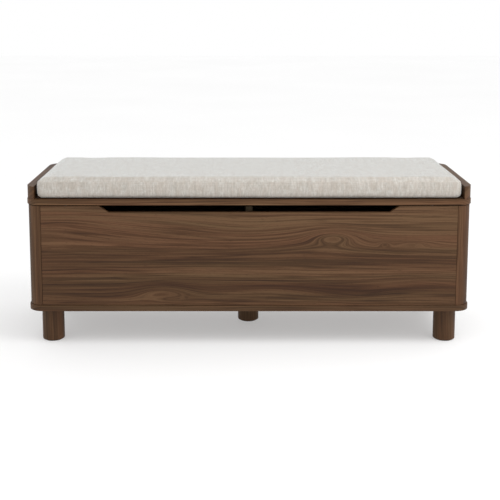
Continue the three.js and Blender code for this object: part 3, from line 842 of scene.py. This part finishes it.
def strip_on_back(pad, half_length, half_height, level, lift, thickness):
    """A thin strip laid on the pad's back face, which it follows."""
    bm = bmesh.new()
    bmesh.ops.create_grid(bm, x_segments=150, y_segments=6, size=1.0)
    bmesh.ops.scale(bm, vec=(half_length, half_height, 1), verts=bm.verts)
    depsgraph = bpy.context.evaluated_depsgraph_get()
    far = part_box("seat_cushion")[1].y + FAR
    for vertex in bm.verts:
        x, z = vertex.co.x, level + vertex.co.y
        found, place, _, _ = pad.ray_cast((x, far, z), (0, -1, 0), depsgraph=depsgraph)
        vertex.co = (x, (place.y if found else far) + lift, z)
    bmesh.ops.recalc_face_normals(bm, faces=bm.faces)
    bmesh.ops.solidify(bm, geom=bm.faces[:], thickness=thickness)
    return bm


def make_zip(pad, cloth_tape, coil, steel):
    """A closed zip low on the pad's back face: tape, coil, and a slider with its pull."""
    low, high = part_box("seat_cushion")
    level = low.z + ZIP_LEVEL
    strip = strip_on_back(pad, ZIP_REACH, ZIP_TAPE, level, TAPE_LIFT, TAPE_THICKNESS)
    piece("zip_tape", strip, cloth_tape, "lid")
    strip = strip_on_back(pad, ZIP_REACH - ZIP_END, ZIP_CHAIN, level, CHAIN_LIFT, CHAIN_LIFT)
    piece("zip_chain", strip, coil, "lid")
    x = -ZIP_REACH + SLIDER_INSET
    depsgraph = bpy.context.evaluated_depsgraph_get()
    _, place, _, _ = pad.ray_cast((x, high.y + FAR, level), (0, -1, 0), depsgraph=depsgraph)
    y = place.y + CHAIN_LIFT
    width, thickness, height = SLIDER_SIZE
    slider = box_mesh((x - width / 2, y, level - height / 2),
                      (x + width / 2, y + thickness, level + height / 2))
    round_edges(slider, list(slider.edges), 1.0 * MM, 3)
    width, thickness, height = PULL_SIZE
    y, top = y + 2.0 * MM, level + 1 * MM
    pull = box_mesh((x - width / 2, y, top - height), (x + width / 2, y + thickness, top))
    round_edges(pull, list(pull.edges), 0.5 * MM, 3)
    piece("zip_slider", joined(slider, pull), steel, "lid")


def joined(*parts):
    """Puts several meshes into the first one."""
    first = parts[0]
    for part in parts[1:]:
        mesh = bpy.data.meshes.new("part")
        part.to_mesh(mesh)
        part.free()
        first.from_mesh(mesh)
        bpy.data.meshes.remove(mesh)
    return first


# ------------------------------------------------------------------ screws, bumpers, hinges and stays
def screw_head(radius, height):
    """A flat screw head on the XY plane, its top towards +Z, with a cross recess."""
    bm = turned(radius, 0, 0, 0, height, 0, 0.35 * height, 32)
    for length, width in ((1.1 * radius, 0.26 * radius), (0.26 * radius, 1.1 * radius)):
        cross = box_mesh((-length / 2, -width / 2, 0.45 * height), (length / 2, width / 2, 1.5 * height))
        bm = subtracted(bm, cross)
    return bm


def subtracted(bm, cutter):
    """One mesh less another, worked out on scratch objects."""
    meshes = []
    for part in (bm, cutter):
        mesh = bpy.data.meshes.new("scratch")
        part.to_mesh(mesh)
        part.free()
        meshes.append(mesh)
    made, tool = (bpy.data.objects.new("scratch", mesh) for mesh in meshes)
    for scratch in (made, tool):
        bpy.context.scene.collection.objects.link(scratch)
    hole = made.modifiers.new("hole", "BOOLEAN")
    hole.operation, hole.solver, hole.object = "DIFFERENCE", "EXACT", tool
    settle(made, "hole")
    result = bmesh.new()
    result.from_mesh(made.data)
    for scratch in (made, tool):
        mesh = scratch.data
        bpy.data.objects.remove(scratch)
        bpy.data.meshes.remove(mesh)
    return result


def screws(name, places, facing, size, material, body):
    """Screw heads at several places, facing one way, as one piece."""
    template = screw_head(*size)
    turn = Vector(facing).to_track_quat("Z", "Y").to_matrix().to_4x4()
    copies = []
    for number, place in enumerate(places):
        copy = template.copy()
        spin = Matrix.Rotation(0.7 * number + 0.3, 4, "Z")
        bmesh.ops.transform(copy, matrix=Matrix.Translation(place) @ turn @ spin, verts=copy.verts)
        copies.append(copy)
    template.free()
    piece(name, joined(*copies), material, body)


LEAF_FIT = 0.3 * MM             # between a leaf and its board
LEAF_THICKNESS = 1.2 * MM
LEAF_SCREW_INSET = 4.5 * MM     # from the leaf's free edge
LEAF_SCREW_REACH = 20 * MM      # either side of the hinge's middle
LEAF_SCREW = (2.6 * MM, 0.45 * MM)  # radius and height of the head
WALL_SCREW = (3.2 * MM, 0.5 * MM)
BRACKET_SCREW = (3.4 * MM, 1.0 * MM)
LEAF_SCREW_SINK = 0.2 * MM      # how far a head's base lies inside its leaf
WALL_SCREW_BASE = 2.2 * MM      # of a head, from the end board's inner face
WALL_SCREW_REACH = 16 * MM      # above and below the wall plate's middle
BRACKET_SCREW_REACH = 14 * MM   # in front of and behind the bracket's middle
BRACKET_SCREW_INSET = 9 * MM    # from the bracket's inner edge
STAY_THICKNESS = 2.0 * MM


def make_hinge_screws(brass):
    """Two screws in each leaf: the wall leaves' face up, the lid leaves' face down."""
    back_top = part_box("back_panel")[1].z
    lid_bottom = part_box("lid_panel")[0].z
    for spot in HINGE_SPOTS:
        low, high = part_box(f"hinge_wall_leaf_{spot}")
        x, y = (low.x + high.x) / 2, low.y + LEAF_SCREW_INSET
        level = back_top - LEAF_FIT - LEAF_SCREW_SINK
        places = [(at, y, level) for at in (x - LEAF_SCREW_REACH, x + LEAF_SCREW_REACH)]
        screws(f"{spot}_wall_leaf_screws", places, (0, 0, 1), LEAF_SCREW, brass, "carcass")
        level = lid_bottom - LEAF_FIT - LEAF_THICKNESS + LEAF_SCREW_SINK
        places = [(at, y, level) for at in (x - LEAF_SCREW_REACH, x + LEAF_SCREW_REACH)]
        screws(f"{spot}_lid_leaf_screws", places, (0, 0, -1), LEAF_SCREW, brass, "lid")


def make_stay_screws(black):
    """Two screws in each stay's wall plate, and two in its lid bracket."""
    for side, sign in SIDES.items():
        low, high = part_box(f"stay_wall_plate_{side}")
        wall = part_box(f"end_panel_{side}")
        inner = wall[1].x if sign < 0 else wall[0].x
        x = inner - sign * WALL_SCREW_BASE
        y, z = (low.y + high.y) / 2, (low.z + high.z) / 2
        places = [(x, y, z - WALL_SCREW_REACH), (x, y, z + WALL_SCREW_REACH)]
        screws(f"{side}_stay_wall_screws", places, (-sign, 0, 0), WALL_SCREW, black, "carcass")
        low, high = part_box(f"stay_lid_bracket_{side}")
        edge = low.x if sign > 0 else high.x
        x, y = edge + sign * BRACKET_SCREW_INSET, (low.y + high.y) / 2
        level = high.z - STAY_THICKNESS
        places = [(x, y - BRACKET_SCREW_REACH, level), (x, y + BRACKET_SCREW_REACH, level)]
        screws(f"{side}_stay_lid_screws", places, (0, 0, -1), BRACKET_SCREW, black, "lid")


def make_rail_screws(steel):
    """The heads under the lid of the screws that hold the end rails."""
    for spot in CORNERS:
        node = f"rail_screw_{spot}"
        x, y, radius, bottom, _ = round_node(node)
        head = screw_head(radius, RAIL_SCREW_HEAD)
        bmesh.ops.rotate(head, matrix=Matrix.Rotation(math.pi, 3, "X"), verts=head.verts)
        bmesh.ops.translate(head, vec=(x, y, bottom + RAIL_SCREW_HEAD), verts=head.verts)
        piece(f"{spot}_rail_screw", head, steel, "lid", [node])


def make_bumpers(grey):
    """Low rubber domes that the closed lid rests on."""
    for name in ("lid_bumper_left", "lid_bumper_right", "divider_bumper_front", "divider_bumper_back"):
        x, y, radius, bottom, top = round_node(name)
        dome = turned(radius, x, y, bottom, top, 0, 0.45 * (top - bottom), 40)
        piece(f"{name}_dome", dome, grey, "carcass", [name])


def dress_hardware(brass, black, hook):
    """Hinges, stays and strips keep their own shape and get their finish."""
    finishes = {"hinge_": brass, "stay_": black, "cushion_strip_": hook}
    for name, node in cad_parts.items():
        for start, material in finishes.items():
            if name.startswith(start):
                node.data.materials.clear()
                node.data.materials.append(material)


# ------------------------------------------------------------------ everything
def build():
    """Sets the stage, then makes every material and piece."""
    make_camera()
    make_world()
    make_floor()
    make_light("key", KEY_PLACE, KEY_TARGET, KEY_SIZE, KEY_WATTS)

    front_wood = walnut("walnut_front", "X", 0.0, FRONT_FIGURE, FRONT_BANDS, 0.4)
    side_wood = walnut("walnut_ends", "Y", 1.0)
    back_wood = walnut("walnut_back", "X", 2.0)
    post_wood = walnut("walnut_posts", "Z", 3.0, wander=0.6, depth=1.08, contrast=0.8)
    lid_wood = walnut("walnut_lid", "X", 4.0, wander=0.6, depth=1.18)
    base_wood = walnut("walnut_base", "X", 5.0, wander=0.6, depth=0.88, contrast=0.7)
    rail_wood = walnut("walnut_rails", "Y", 6.0, wander=0.6, depth=0.94)
    leg_wood = walnut("turned_walnut", "Z", 7.0, wander=0.5, depth=0.92, contrast=0.7)
    steel = metal("zinc_plate", (0.56, 0.57, 0.58), (0.44, 0.45, 0.47), 0.34)

    make_bottom(base_wood)
    make_posts(post_wood)
    make_front(front_wood)
    make_walls(side_wood, back_wood, shade_darkened_board())
    make_legs(leg_wood, felt(), steel)
    make_lid(lid_wood)
    make_rails(rail_wood)
    pad = make_cushion(oatmeal_weave())
    hook = tape("hook_tape", (0.045, 0.040, 0.036), 1.4 * MM)
    zip_cloth = tape("zip_tape", (0.42, 0.39, 0.34), 1.2 * MM)
    zip_coil = tape("zip_coil", (0.36, 0.33, 0.28), 1.6 * MM)
    make_zip(pad, zip_cloth, zip_coil, steel)
    brass = metal("antique_brass", (0.42, 0.31, 0.15), (0.28, 0.21, 0.11), 0.36)
    black = metal("black_coat", (0.022, 0.022, 0.024), (0.014, 0.014, 0.015), 0.45,
                  brushed=(300.0, 300.0, 300.0), metallic=0.3)
    make_hinge_screws(brass)
    make_stay_screws(black)
    make_rail_screws(steel)
    make_bumpers(rubber())
    dress_hardware(brass, black, hook)


build()
